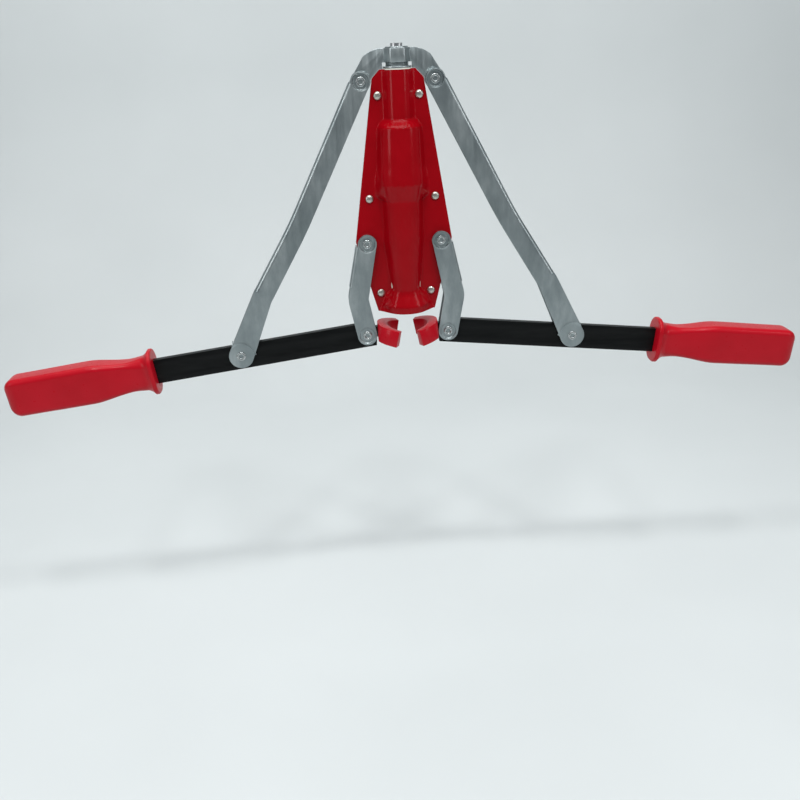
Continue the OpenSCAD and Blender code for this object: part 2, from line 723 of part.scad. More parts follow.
module left() {
    mirror([1, 0, 0]) children();
}
module left_short_link() { color(zinc) left() short_link(); }
module left_lever_rivet() { color(nickel) left() lever_rivet(); }
module left_lever() { color(black_paint) left() lever(); }
module left_handle() { color(red_plastic) left() handle(); }
module left_jaw() { color(red_plastic) left() jaw(); }
module left_jaw_rivet() { color(nickel) left() jaw_rivet(); }
module left_long_link() { color(zinc) left() long_link(); }
module left_link_rivet() { color(nickel) left() link_rivet(); }
module right_short_link() { color(zinc) short_link(); }
module right_lever_rivet() { color(nickel) lever_rivet(); }
module right_lever() { color(black_paint) lever(); }
module right_handle() { color(red_plastic) handle(); }
module right_jaw() { color(red_plastic) jaw(); }
module right_jaw_rivet() { color(nickel) jaw_rivet(); }
module right_long_link() { color(zinc) long_link(); }
module right_link_rivet() { color(nickel) link_rivet(); }

front_shell();
back_shell();
cork_funnel();
guide_bush();
shell_rivets();
body_pivot_rivets();
plunger_rod();
stop_washer();
lock_nut();
bridge_nut();
bridge_front();
bridge_back();
bridge_pivot_rivets();
left_short_link();
left_lever_rivet();
left_lever();
left_handle();
left_jaw();
left_jaw_rivet();
left_long_link();
left_link_rivet();
right_short_link();
right_lever_rivet();
right_lever();
right_handle();
right_jaw();
right_jaw_rivet();
right_long_link();
right_link_rivet();
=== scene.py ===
import json
import math

import bmesh
import bpy
import numpy as np
from mathutils import Matrix

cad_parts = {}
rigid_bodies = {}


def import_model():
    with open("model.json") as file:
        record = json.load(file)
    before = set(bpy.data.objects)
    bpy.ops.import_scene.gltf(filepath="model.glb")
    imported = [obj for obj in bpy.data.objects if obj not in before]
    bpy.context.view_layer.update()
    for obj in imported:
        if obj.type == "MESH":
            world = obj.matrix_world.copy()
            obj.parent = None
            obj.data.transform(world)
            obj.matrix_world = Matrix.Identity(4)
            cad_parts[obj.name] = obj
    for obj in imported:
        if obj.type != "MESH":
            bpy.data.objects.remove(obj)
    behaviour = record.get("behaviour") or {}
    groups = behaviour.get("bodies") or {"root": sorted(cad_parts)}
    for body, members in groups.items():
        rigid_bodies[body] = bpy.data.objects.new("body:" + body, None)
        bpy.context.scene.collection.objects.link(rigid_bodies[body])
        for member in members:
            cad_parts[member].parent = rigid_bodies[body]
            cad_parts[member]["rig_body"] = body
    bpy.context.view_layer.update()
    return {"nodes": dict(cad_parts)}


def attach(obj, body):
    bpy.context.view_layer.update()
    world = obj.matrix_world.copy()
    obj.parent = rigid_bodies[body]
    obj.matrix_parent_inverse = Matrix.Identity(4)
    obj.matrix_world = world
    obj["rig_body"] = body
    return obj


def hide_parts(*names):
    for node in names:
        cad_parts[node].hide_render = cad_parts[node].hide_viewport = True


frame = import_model()

# ---------------------------------------------------------------------------
# The body's two pressed shells: 1.2 mm steel sheet, drawn in a press to a rod
# channel, a wide chamber, a funnel channel and a flared bell mouth, and coated
# in deep red enamel. The back one has the loading window.
# ---------------------------------------------------------------------------
SHEET = 1.2
FLANGE_Z = [0.0, 49.4, 154.9, 160.3]
FLANGE_HALF = [20.1, 33.2, 16.85, 11.7]


def eased(z, knots, values, radius):
    """Straight lines through the knots, with every corner rounded: the mean of the lines over z plus and
    minus radius."""
    shifts = np.linspace(-radius, radius, 11)
    return np.mean([np.interp(z + s, knots, values) for s in shifts], axis=0)


def soft_least(a, b, r):
    """The smaller of a and b, with the crease between them filled by a parabola r wide."""
    t = np.clip(0.5 + 0.5 * (b - a) / r, 0.0, 1.0)
    return b * (1 - t) + a * t - r * t * (1 - t)


def soft_most(a, b, r):
    """The larger of a and b, blended the same way."""
    return -soft_least(-a, -b, r)


def pressed_depth(x, z):
    """How far the sheet's outer face stands off the seam. The section is a circle of radius rho whose top is at
    crest, and a straight wall from the foot that touches it: for the wall's angle t, with y0 = crest - rho,
    t = atan(y0 / foot) + asin(rho / sqrt(foot^2 + y0^2)). A fillet joins the wall to the flat flange, and faint
    creases run out like a fan where the drawn metal gathered."""
    corner_r, fillet, bulge = 1.1, 1.9, 0.93
    crest = eased(z, [0, 5, 12.5, 14.5, 77.5, 87.5, 125, 128.9, 160],
                  [15.3, 15.9, 11.9, 11.5, 13.7, 16.0, 14.9, 9.1, 9.1], corner_r)
    foot = eased(z, [0, 2.6, 11, 14.5, 16.5, 40, 51, 58, 77.4, 79.6, 82, 85, 92, 97, 120, 124, 127.5, 130, 160],
                 [20.7, 18.7, 15.2, 11.2, 10.5, 12.8, 14.1, 13.8, 14.1, 18.2, 19.0, 19.1, 18.3, 16.5, 15.7, 15.3,
                  13.4, 11.1, 10.9], corner_r)
    rho = np.minimum(crest, bulge * foot)
    y0 = crest - rho
    t = np.arctan2(y0, foot) + np.arcsin(np.clip(rho / np.hypot(foot, y0), 0, 0.9999))
    side = np.abs(x)
    round_top = y0 + np.sqrt(np.maximum(rho ** 2 - side ** 2, 0))
    h = np.where(side < rho * np.sin(t), round_top, (foot - side) * np.tan(t))
    turn = np.degrees(np.arcsin(np.clip(side / rho, 0, 1)))
    fan = 0.12 * np.cos(np.radians(turn) * 26) * np.exp(-((z - 126.2) / 1.8) ** 2)
    fan += 0.06 * np.cos(np.radians(turn) * 17) * np.exp(-((z - 87.0) / 1.2) ** 2)
    fan += 0.20 * np.cos(np.radians(turn) * 9) * np.clip(1 - np.abs(z - 8) / 7.5, 0, 1)
    h = h + fan * np.clip(h - SHEET, 0, 1)
    return soft_most(h, np.full_like(h, SHEET), fillet)


def grid_faces(rows, cols, wrap=False):
    """Quads between neighbouring points of a rows x cols grid, numbered row by row; wrap joins the last column
    to the first."""
    r, c = np.meshgrid(np.arange(rows - 1), np.arange(cols if wrap else cols - 1), indexing="ij")
    n = (c + 1) % cols
    quads = np.stack([r * cols + c, r * cols + n, (r + 1) * cols + n, (r + 1) * cols + c], -1)
    return quads.reshape(-1, 4)


def new_piece(name, points, faces, steps=(), merge=0.002, outward=False, sharp=38.0):
    """Makes a piece from points in millimetres, runs its modifiers and keeps the result, smooth but for edges
    that bend by more than sharp degrees."""
    mesh = bpy.data.meshes.new(name)
    mesh.from_pydata((np.asarray(points, float) * 0.001).tolist(), [], np.asarray(faces).tolist())
    work = bmesh.new()
    work.from_mesh(mesh)
    bmesh.ops.remove_doubles(work, verts=work.verts, dist=merge * 0.001)
    bmesh.ops.dissolve_degenerate(work, edges=work.edges, dist=1e-7)
    if outward:
        bmesh.ops.recalc_face_normals(work, faces=work.faces)
    work.to_mesh(mesh)
    work.free()
    piece = bpy.data.objects.new(name, mesh)
    bpy.context.scene.collection.objects.link(piece)
    return settle(piece, steps, sharp)


def settle(piece, steps, sharp):
    """Runs the listed modifiers on a piece, keeps what they give as its mesh and shades it."""
    for kind, values in steps:
        step = piece.modifiers.new(kind.title(), kind)
        for key, value in values.items():
            setattr(step, key, value)
    if steps:
        graph = bpy.context.evaluated_depsgraph_get()
        made = bpy.data.meshes.new_from_object(piece.evaluated_get(graph))
        piece.modifiers.clear()
        piece.data = made
    piece.data.polygons.foreach_set("use_smooth", [True] * len(piece.data.polygons))
    piece.data.set_sharp_from_angle(angle=math.radians(sharp))
    return piece


def mirrored(points):
    """The same points on the left-hand side."""
    return np.asarray(points, float) * np.array([-1.0, 1.0, 1.0])


def facing(points, faces, wanted):
    """Turns all faces round if their normals, added up, look away from the wanted direction."""
    p, f = np.asarray(points, float), np.asarray(faces)
    normal = np.cross(p[f[:, 1]] - p[f[:, 0]], p[f[:, 3]] - p[f[:, 0]])
    way = np.sum(normal @ np.asarray(wanted, float))
    return f if way > 0 else f[:, ::-1]


def material(name):
    """A node material with one Principled shader; returns the material, its node tree and the shader."""
    made = bpy.data.materials.new(name)
    made.use_nodes = True
    tree = made.node_tree
    tree.nodes.clear()
    out = tree.nodes.new("ShaderNodeOutputMaterial")
    shader = tree.nodes.new("ShaderNodeBsdfPrincipled")
    tree.links.new(shader.outputs["BSDF"], out.inputs["Surface"])
    return made, tree, shader


def mottle(tree, scale, detail=3.0, stretch=(1, 1, 1), rough=0.5):
    """Noise on Object coordinates, stretched along an axis; scale is in cycles per metre."""
    where = tree.nodes.new("ShaderNodeTexCoord")
    place = tree.nodes.new("ShaderNodeMapping")
    place.inputs["Scale"].default_value = stretch
    cloud = tree.nodes.new("ShaderNodeTexNoise")
    cloud.inputs["Scale"].default_value = scale
    cloud.inputs["Detail"].default_value = detail
    cloud.inputs["Roughness"].default_value = rough
    tree.links.new(where.outputs["Object"], place.inputs["Vector"])
    tree.links.new(place.outputs["Vector"], cloud.inputs["Vector"])
    return cloud.outputs["Fac"]


def between(tree, value, low, high):
    """Carries a noise value from 0.3..0.7, where most of it lies, to low..high."""
    step = tree.nodes.new("ShaderNodeMapRange")
    for key, number in (("From Min", 0.3), ("From Max", 0.7), ("To Min", low), ("To Max", high)):
        step.inputs[key].default_value = number
    tree.links.new(value, step.inputs["Value"])
    return step.outputs["Result"]


def tinted(tree, value, stops):
    """Colours along a noise value; stops are (place, colour)."""
    ramp = tree.nodes.new("ShaderNodeValToRGB")
    points = ramp.color_ramp.elements
    for i, (place, colour) in enumerate(stops):
        stop = points[i] if i < 2 else points.new(place)
        stop.position = place
        stop.color = (*colour, 1)
    tree.links.new(value, ramp.inputs["Fac"])
    return ramp.outputs["Color"]


def relief(tree, value, distance, strength=1.0, under=None):
    """Bump from a height value; distance is in metres."""
    bump = tree.nodes.new("ShaderNodeBump")
    bump.inputs["Distance"].default_value = distance
    bump.inputs["Strength"].default_value = strength
    tree.links.new(value, bump.inputs["Height"])
    if under is not None:
        tree.links.new(under, bump.inputs["Normal"])
    return bump.outputs["Normal"]


def red_enamel():
    """Sprayed enamel: deep red, a little thicker in places, with orange peel and fine dust under a clear gloss."""
    made, tree, shader = material("red_enamel")
    cloud = mottle(tree, 60, 3)
    colour = tinted(tree, cloud, [(0.30, (0.275, 0.0008, 0.0040)), (0.72, (0.315, 0.0014, 0.0056))])
    tree.links.new(colour, shader.inputs["Base Color"])
    tree.links.new(between(tree, mottle(tree, 240, 4), 0.10, 0.18), shader.inputs["Roughness"])
    peel = relief(tree, mottle(tree, 700, 2), 0.00002, 0.5)
    tree.links.new(relief(tree, mottle(tree, 55, 1), 0.00010, 0.5, peel), shader.inputs["Normal"])
    shader.inputs["Specular IOR Level"].default_value = 0.10
    shader.inputs["Coat Weight"].default_value = 0.08
    shader.inputs["Coat Roughness"].default_value = 0.03
    shader.inputs["Coat IOR"].default_value = 1.5
    return made


def shell_points(side):
    """Grid of the sheet's outer face: rows from the rim to the top edge, columns from edge to edge, closer
    together over the relief."""
    relief_half, least_flange = 21.0, 0.2
    z = np.unique(np.concatenate([
        np.linspace(0, 18, 46), np.linspace(18, 74, 50), np.linspace(74, 94, 61),
        np.linspace(94, 116, 14), np.linspace(116, 134, 61), np.linspace(134, FLANGE_Z[-1], 14), FLANGE_Z]))
    edge = np.interp(z, FLANGE_Z, FLANGE_HALF)
    inner = np.minimum(relief_half, edge - least_flange)
    across = np.linspace(-1, 1, 141)
    outer = np.array([0.35, 0.7, 1.0])
    x = np.concatenate([
        -(inner[:, None] + (edge - inner)[:, None] * outer[None, ::-1]),
        inner[:, None] * across[None, :],
        inner[:, None] + (edge - inner)[:, None] * outer[None, :]], axis=1)
    depth = pressed_depth(x, z[:, None] + 0 * x)
    return np.stack([x, side * depth, z[:, None] + 0 * x], -1)


enamel = red_enamel()
shells = {}
for name, node, side in (("front_pressing", "front_shell", -1), ("back_pressing", "back_shell", 1)):
    grid = shell_points(side)
    points = grid.reshape(-1, 3)
    faces = facing(points, grid_faces(*grid.shape[:2]), (0, side, 0))
    shells[node] = new_piece(name, points, faces, [
        ("SOLIDIFY", {"thickness": SHEET * 0.001, "offset": -1.0, "use_even_offset": True, "thickness_clamp": 1.0}),
        ("BEVEL", {"width": 0.00028, "segments": 2, "limit_method": "ANGLE", "angle_limit": math.radians(50)})])
    shells[node].data.materials.append(enamel)
    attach(shells[node], "body")
    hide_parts(node)

# The window in the back pressing: its width, lower edge, height and corner radius.
WINDOW = (27.0, 53.0, 58.0, 4.0)


def rounded_box(width, low, height, radius, y0, y1):
    """A block between y0 and y1 whose outline is a rectangle with quarter-circle corners."""
    turn = np.radians(np.arange(0, 91, 15))
    corners = []
    for k, (sx, sz) in enumerate(((1, 1), (-1, 1), (-1, -1), (1, -1))):
        a = turn + k * math.pi / 2
        corners.append(np.stack([sx * (width / 2 - radius) + radius * np.cos(a),
                                 low + height / 2 + sz * (height / 2 - radius) + radius * np.sin(a)], -1))
    rim = np.concatenate(corners)
    n = len(rim)
    points = np.concatenate([np.stack([rim[:, 0], np.full(n, y), rim[:, 1]], -1) for y in (y0, y1)])
    i = np.arange(n)
    sides = np.stack([i, (i + 1) % n, (i + 1) % n + n, i + n], -1).tolist()
    return points, sides + [list(range(n - 1, -1, -1)), list(range(n, 2 * n))]


def cut_from(piece, points, faces, sharp=38.0):
    """Cuts a block out of a piece and leaves no trace of the block."""
    mesh = bpy.data.meshes.new("cutter")
    mesh.from_pydata((np.asarray(points) * 0.001).tolist(), [], faces)
    work = bmesh.new()
    work.from_mesh(mesh)
    bmesh.ops.recalc_face_normals(work, faces=work.faces)
    work.to_mesh(mesh)
    work.free()
    block = bpy.data.objects.new("cutter", mesh)
    bpy.context.scene.collection.objects.link(block)
    settle(piece, [("BOOLEAN", {"operation": "DIFFERENCE", "object": block, "solver": "EXACT"})], sharp)
    bpy.data.objects.remove(block)
    bpy.data.meshes.remove(mesh)


cut_from(shells["back_shell"], *rounded_box(*WINDOW, y0=2.0, y1=40.0))

# ---------------------------------------------------------------------------
# Six rivets clamp the shells: soft steel with a whitish nickel plate, a low
# dome in front and a flatter closed head behind.
# ---------------------------------------------------------------------------
SHELL_RIVETS = [(13.65, 144.4), (22.36, 78.4), (17.55, 13.0)]


def turned(profile, at, way, sides=40):
    """A profile of (radius, height) carried round an axis along Y through at, with height measured towards way."""
    r, h = np.asarray(profile, float).T
    a = np.linspace(0, 2 * math.pi, sides, endpoint=False)
    x = at[0] + r[:, None] * np.cos(a)[None, :]
    z = at[1] + r[:, None] * np.sin(a)[None, :]
    y = way * h[:, None] + 0 * x
    points = np.stack([x, y, z], -1).reshape(-1, 3)
    return points, grid_faces(len(r), sides, wrap=True)


def joined(parts):
    """Several meshes as one list of points and one of faces."""
    points, faces, count = [], [], 0
    for p, f in parts:
        points.append(np.asarray(p))
        faces.append(np.asarray(f) + count)
        count += len(p)
    return np.concatenate(points), np.concatenate(faces)


def plated(name, light, dark, rough):
    """Plated steel: a slightly cloudy bright skin with tiny pits and a soft uneven sheen."""
    made, tree, shader = material(name)
    colour = tinted(tree, mottle(tree, 420, 4), [(0.32, dark), (0.66, light)])
    tree.links.new(colour, shader.inputs["Base Color"])
    shader.inputs["Metallic"].default_value = 0.9
    tree.links.new(between(tree, mottle(tree, 900, 3), rough - 0.07, rough + 0.09), shader.inputs["Roughness"])
    tree.links.new(relief(tree, mottle(tree, 1200, 2), 0.00001, 0.5), shader.inputs["Normal"])
    return made


nickel = plated("nickel_plate", (0.60, 0.575, 0.52), (0.44, 0.42, 0.38), 0.30)
bright_steel = plated("bright_steel", (0.50, 0.53, 0.53), (0.34, 0.365, 0.37), 0.24)


def dome_profile(radius, height, base):
    """Quarter ellipse from the rim to the pole, over a short straight edge, closed down the middle to the base."""
    a = np.radians(np.linspace(0, 90, 9))
    shank, edge = 0.55 * radius, 0.18 * height
    return np.concatenate([[[0, base], [shank, base], [shank, 0.0], [radius, 0.0]],
                           np.stack([radius * np.cos(a), edge + (height - edge) * np.sin(a)], -1)])


parts = []
for sx in (1, -1):
    for x, z in SHELL_RIVETS:
        for way, radius, height in ((-1, 2.7, 1.7), (1, 2.6, 1.0)):
            profile = dome_profile(radius, height, -1.0)
            profile[:, 1] += SHEET
            parts.append(turned(profile, (sx * x, z), way))
heads = new_piece("shell_rivet_heads", *joined(parts), outward=True)
heads.data.materials.append(nickel)
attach(heads, "body")
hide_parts("shell_rivets")

# ---------------------------------------------------------------------------
# Eight tubular rivets are the pivots. Each end is rolled over into a round
# bead that rests in the link's dished seat, with the tube's bore left open.
# ---------------------------------------------------------------------------
P_BODY = np.array([25.6, 48.2])
P_LEVER = np.array([28.9, -17.1])
DROOP = math.radians(6.65)
ALONG = np.array([math.cos(DROOP), -math.sin(DROOP)])
ACROSS = np.array([math.sin(DROOP), math.cos(DROOP)])
P_LINK = P_LEVER + 90.9 * ALONG + 1.0 * ACROSS
P_BRIDGE = np.array([24.2, 153.5])
PIN_R, HEAD_R, HEAD_H, BORE_R = 2.5, 3.25, 0.95, 1.4
BODY_SEAT, BRIDGE_SEAT, LEVER_SEAT = 2.9, 3.2, 4.1


def rolled_profile(seat):
    """Closed outline of half a tubular rivet: out along the seat, over a round bead and down into the flared bore."""
    a = np.radians(np.linspace(-50, 185, 21))
    mid = (HEAD_R + BORE_R) / 2
    half = HEAD_R - mid
    lift, taper = 0.35, 0.05
    bead = np.stack([mid + half * np.cos(a), seat + lift + (HEAD_H - lift) * np.maximum(np.sin(a), -0.8)], -1)
    tube = np.array([[BORE_R, seat - 0.3], [BORE_R - taper, seat - 1.2], [BORE_R - taper, 0.0]])
    return np.concatenate([[[PIN_R, 0.0], [PIN_R, seat]], bead, tube])


def rolled_rivet(at, seat):
    """Both halves of a tubular rivet on one axis; they meet on the seam plane."""
    return [turned(rolled_profile(seat), at, way, 48) for way in (-1, 1)]


def pivot_piece(name, node, body, spots, seat):
    """One piece for the rivets at the listed spots, whose beads rest seat millimetres from the seam plane."""
    parts = []
    for at in spots:
        parts += rolled_rivet(at, seat)
    piece = new_piece(name, *joined(parts), outward=True, sharp=50)
    piece.data.materials.append(bright_steel)
    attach(piece, body)
    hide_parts(node)


def on_side(p, side):
    """A pivot's place on the right (1) or left (-1) hand side."""
    return (side * p[0], p[1])


pivot_piece("body_pivot_heads", "body_pivot_rivets", "body", [on_side(P_BODY, s) for s in (1, -1)],
            BODY_SEAT)
pivot_piece("bridge_pivot_heads", "bridge_pivot_rivets", "plunger", [on_side(P_BRIDGE, s) for s in (1, -1)],
            BRIDGE_SEAT)
for hand, s in (("left", -1), ("right", 1)):
    pivot_piece(f"{hand}_lever_pivot", f"{hand}_lever_rivet", f"{hand}_short_link", [on_side(P_LEVER, s)],
                LEVER_SEAT)
    pivot_piece(f"{hand}_link_pivot", f"{hand}_link_rivet", f"{hand}_long_link", [on_side(P_LINK, s)],
                LEVER_SEAT)

# ---------------------------------------------------------------------------
# Four links are blanked from 1.3 mm strip, folded to a channel along the outer
# edge, dished at each pivot and zinc plated to a soft bluish grey.
# ---------------------------------------------------------------------------
LINK_T, LINK_OUT = 1.3, 4.9


def zinc_plate():
    """Bright zinc: bluish grey, cloudy in long soft patches along the strip, with fine streaks."""
    made, tree, shader = material("zinc_plate")
    cloud = mottle(tree, 60, 6, stretch=(1, 1, 0.35), rough=0.66)
    colour = tinted(tree, cloud, [(0.30, (0.245, 0.285, 0.295)), (0.50, (0.335, 0.380, 0.390)),
                                  (0.72, (0.50, 0.545, 0.55))])
    tree.links.new(colour, shader.inputs["Base Color"])
    shader.inputs["Metallic"].default_value = 0.9
    streaks = mottle(tree, 500, 4, stretch=(1, 1, 0.06), rough=0.7)
    tree.links.new(between(tree, streaks, 0.28, 0.44), shader.inputs["Roughness"])
    fine = relief(tree, mottle(tree, 1300, 3), 0.00003, 0.5)
    waves = relief(tree, mottle(tree, 90, 4, stretch=(1, 1, 0.4)), 0.00016, 0.4, fine)
    tree.links.new(waves, shader.inputs["Normal"])
    return made


zinc = zinc_plate()


def centre_line(points, rounds, s):
    """Places and directions at distance s along a broken line. Within r of a corner the line is the parabola
    (1 - t)^2 a + 2 t (1 - t) corner + t^2 b between the points a and b that lie r before and behind it."""
    legs = np.diff(points, axis=0)
    knots = np.concatenate([[0], np.cumsum(np.linalg.norm(legs, axis=1))])
    ways = legs / np.diff(knots)[:, None]
    leg = np.clip(np.searchsorted(knots, s, side="right") - 1, 0, len(ways) - 1)
    line = points[leg] + (s - knots[leg])[:, None] * ways[leg]
    way = ways[leg]
    for i, r in enumerate(rounds, 1):
        t = np.clip((s - knots[i] + r) / (2 * r), 0, 1)[:, None]
        near = (np.abs(s - knots[i]) < r)[:, None]
        before, after = points[i] - r * ways[i - 1], points[i] + r * ways[i]
        bend = (1 - t) ** 2 * before + 2 * t * (1 - t) * points[i] + t ** 2 * after
        line = np.where(near, bend, line)
        way = np.where(near, (1 - t) * ways[i - 1] + t * ways[i], way)
    return line, way / np.linalg.norm(way, axis=1)[:, None], knots


def folded_strip(points, rounds, halves, bend_r, web_half, web_from, web_to, dishes):
    """Outer face of a folded link: two flat walls whose edges follow a bent centre line and close in half
    circles, and a fold with corners of radius bend_r that joins them from web_from to web_to. Each dish (centre,
    radius, depth) sinks the wall by depth * (3 k^2 - 2 k^3) over its rim, and the rim stands up in a small lip."""
    points = np.array(points)
    total = np.linalg.norm(np.diff(points, axis=0), axis=1).sum()
    knots = centre_line(points, rounds, np.zeros(1))[2]
    fold_line = web_half - bend_r
    fine_end, fine, coarse = 10.6, 0.28, 1.6
    cap = np.radians(np.linspace(0, 90, 26))
    corners = [np.linspace(k - r, k + r, 7) for k, r in zip(knots[1:-1], rounds)]
    middle = np.linspace(fine_end, total - fine_end, int((total - 2 * fine_end) / coarse))
    s = np.unique(np.round(np.concatenate([
        -halves[0] * np.cos(cap), np.arange(0, fine_end, fine), middle, np.arange(total - fine_end, total, fine),
        [web_from, web_to, 0, total], total + halves[-1] * np.sin(cap), *corners]), 4))
    line, way, knots = centre_line(points, rounds, s)
    out = np.stack([-way[:, 1], way[:, 0]], -1)
    half = np.interp(np.clip(s, 0, total), knots, halves)
    close = np.where(s < 0, np.sqrt(np.clip(1 - (s / halves[0]) ** 2, 0, 1)),
                     np.where(s > total, np.sqrt(np.clip(1 - ((s - total) / halves[-1]) ** 2, 0, 1)), 1.0))
    inner = np.linspace(0, 1, 44)
    beyond = np.linspace(0, 1, 8)[1:]
    offsets = np.concatenate([
        -half[:, None] + (fold_line + half)[:, None] * inner[None, :],
        fold_line + (half - fold_line)[:, None] * beyond[None, :]], axis=1) * close[:, None]
    place = line[:, None, :] + out[:, None, :] * offsets[:, :, None]
    wall_y = np.full(place.shape[:-1], LINK_OUT)
    rim, lip_h, lip_at, lip_w = 0.35, 0.12, 0.5, 0.25
    for centre, radius, depth in dishes:
        far = np.linalg.norm(place - centre, axis=-1)
        k = np.clip((radius + rim - far) / (2 * rim), 0, 1)
        wall_y = wall_y - depth * k * k * (3 - 2 * k) + lip_h * np.exp(-((far - radius - lip_at) / lip_w) ** 2)
    rows, cols = offsets.shape
    quads = grid_faces(rows, cols)
    r, c = quads[:, 0] // cols, quads[:, 0] % cols
    folded = (s[r] >= web_from - 1e-6) & (s[r + 1] <= web_to + 1e-6)
    quads = quads[~(folded & (c >= len(inner) - 1))]
    sides = []
    for sign in (-1, 1):
        wall = np.stack([place[..., 0], sign * wall_y, place[..., 1]], -1).reshape(-1, 3)
        sides.append((wall, facing(wall, quads, (0, sign, 0))))
    rows_in = (s >= web_from - 1e-6) & (s <= web_to + 1e-6)
    turn = np.radians(np.linspace(-90, 0, 9))
    arc = np.stack([fold_line + bend_r * np.cos(turn), -(LINK_OUT - bend_r) + bend_r * np.sin(turn)], -1)
    flat = np.stack([np.full(5, web_half), np.linspace(-(LINK_OUT - bend_r), LINK_OUT - bend_r, 5)], -1)
    section = np.concatenate([arc, flat[1:-1], arc[::-1] * [1, -1]])
    n_line, n_out = line[rows_in], out[rows_in]
    xz = n_line[:, None, :] + n_out[:, None, :] * section[None, :, 0, None]
    fold = np.stack([xz[..., 0], np.broadcast_to(section[:, 1], xz.shape[:2]), xz[..., 1]], -1)
    back = fold.reshape(-1, 3)
    back_faces = facing(back, grid_faces(*fold.shape[:2]), (n_out[0][0], 0, n_out[0][1]))
    return joined([*sides, (back, back_faces)])


def offside(a, b, distance):
    """The vector square to a-b, on the outer side, distance long."""
    d = (b - a) / np.linalg.norm(b - a)
    return distance * np.array([-d[1], d[0]])


short_axis = (P_LEVER - P_BODY) / np.linalg.norm(P_LEVER - P_BODY)
short_elbow = P_BODY + 39.3 * short_axis + offside(P_BODY, P_LEVER, 6.4)
long_axis = (P_BRIDGE - P_LINK) / np.linalg.norm(P_BRIDGE - P_LINK)
long_elbow = P_LINK + 45.0 * long_axis - offside(P_LINK, P_BRIDGE, 2.8)
long_waist = P_BRIDGE - 103.0 * long_axis - offside(P_BRIDGE, P_LINK, 0.8)
web_end = np.linalg.norm(long_waist - P_BRIDGE) + np.linalg.norm(long_elbow - long_waist)
SHAPES = {
    "short_link": folded_strip(
        (P_BODY, short_elbow, P_LEVER), rounds=(2.6,), halves=(6.3, 7.0, 6.9), bend_r=2.4, web_half=7.6,
        web_from=3.2, web_to=np.linalg.norm(short_elbow - P_BODY) - 8,
        dishes=[(P_BODY, 5.2, 2.1), (P_LEVER, 5.3, 0.8)]),
    "long_link": folded_strip(
        (P_BRIDGE, long_waist, long_elbow, P_LINK), rounds=(12.0, 2.6), halves=(6.2, 6.4, 6.9, 8.7), bend_r=2.9,
        web_half=6.95, web_from=3.4, web_to=web_end - 3.0, dishes=[(P_BRIDGE, 5.2, 1.8), (P_LINK, 9.6, 0.8)]),
}
for hand in ("left", "right"):
    for kind, (points, faces) in SHAPES.items():
        if hand == "left":
            points, faces = mirrored(points), faces[:, ::-1]
        link = new_piece(f"{hand}_{kind}_strip", points, faces, [
            ("SOLIDIFY", {"thickness": LINK_T * 0.001, "offset": -1.0, "use_even_offset": False}),
            ("BEVEL", {"width": 0.00022, "segments": 2, "limit_method": "ANGLE", "angle_limit": math.radians(55)})],
            merge=0.01, sharp=45)
        link.data.materials.append(zinc)
        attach(link, f"{hand}_{kind}")
        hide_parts(f"{hand}_{kind}")

# ---------------------------------------------------------------------------
# The bridge: two zinc-plated plates back to back, pressed to a half hexagon in
# the middle that grips the nut. The nut, the lock nut and the stop washer are
# plated too. All have the small roundings that blanking and turning leave.
# ---------------------------------------------------------------------------
def softened(name, node, width, segments=2, bends=None):
    """A copy of a solid's mesh, merged, with its flat faces made whole again and a small rounding on every edge
    that bends by more than 40 degrees. bends = (low x, high x, y, r) first rounds by r the upright edges beyond y
    whose x lies between those two."""
    source = frame["nodes"][node]
    mesh = source.data.copy()
    mesh.name = name
    work = bmesh.new()
    work.from_mesh(mesh)
    bmesh.ops.remove_doubles(work, verts=work.verts, dist=2e-6)
    bmesh.ops.dissolve_limit(work, angle_limit=math.radians(0.5), verts=work.verts, edges=work.edges)
    if bends is not None:
        low, high, beyond, r = (0.001 * v for v in bends)
        upright = [e for e in work.edges
                   if all(low < abs(v.co.x) < high and abs(v.co.y) > beyond for v in e.verts)
                   and abs(e.verts[0].co.z - e.verts[1].co.z) > 0.9 * e.calc_length()]
        bmesh.ops.bevel(work, geom=upright, offset=r, segments=5, profile=0.5, affect="EDGES")
    work.to_mesh(mesh)
    work.free()
    mesh.materials.clear()
    piece = bpy.data.objects.new(name, mesh)
    bpy.context.scene.collection.objects.link(piece)
    settle(piece, [("BEVEL", {"width": width * 0.001, "segments": segments, "limit_method": "ANGLE",
                              "angle_limit": math.radians(40)})], 35)
    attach(piece, frame["nodes"][node]["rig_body"])
    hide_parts(node)
    return piece


BOSS = (4.2, 5.2, 7.3, 1.2)
for name, node, width, bends in (
        ("bridge_plate_front", "bridge_front", 0.25, BOSS),
        ("bridge_plate_back", "bridge_back", 0.25, BOSS),
        ("hex_nut", "bridge_nut", 0.35, None),
        ("thin_nut", "lock_nut", 0.3, None),
        ("washer", "stop_washer", 0.2, None)):
    piece = softened(name, node, width, bends=bends)
    piece.data.materials.append(zinc)

# ---------------------------------------------------------------------------
# The plunger rod is ground bright steel; the solid's own mesh shows, with fine
# rings round it from the grinding wheel. Funnel and guide are natural nylon.
# ---------------------------------------------------------------------------
def ground_steel():
    """Ground bar: bright steel with fine rings across the rod and a few long faint rubs."""
    made, tree, shader = material("ground_steel")
    rings = mottle(tree, 900, 3, stretch=(0.04, 0.04, 1))
    colour = tinted(tree, rings, [(0.35, (0.52, 0.53, 0.54)), (0.7, (0.68, 0.69, 0.70))])
    tree.links.new(colour, shader.inputs["Base Color"])
    shader.inputs["Metallic"].default_value = 0.95
    tree.links.new(between(tree, mottle(tree, 300, 4, stretch=(1, 1, 0.1)), 0.2, 0.34), shader.inputs["Roughness"])
    tree.links.new(relief(tree, rings, 0.00002, 0.5), shader.inputs["Normal"])
    return made


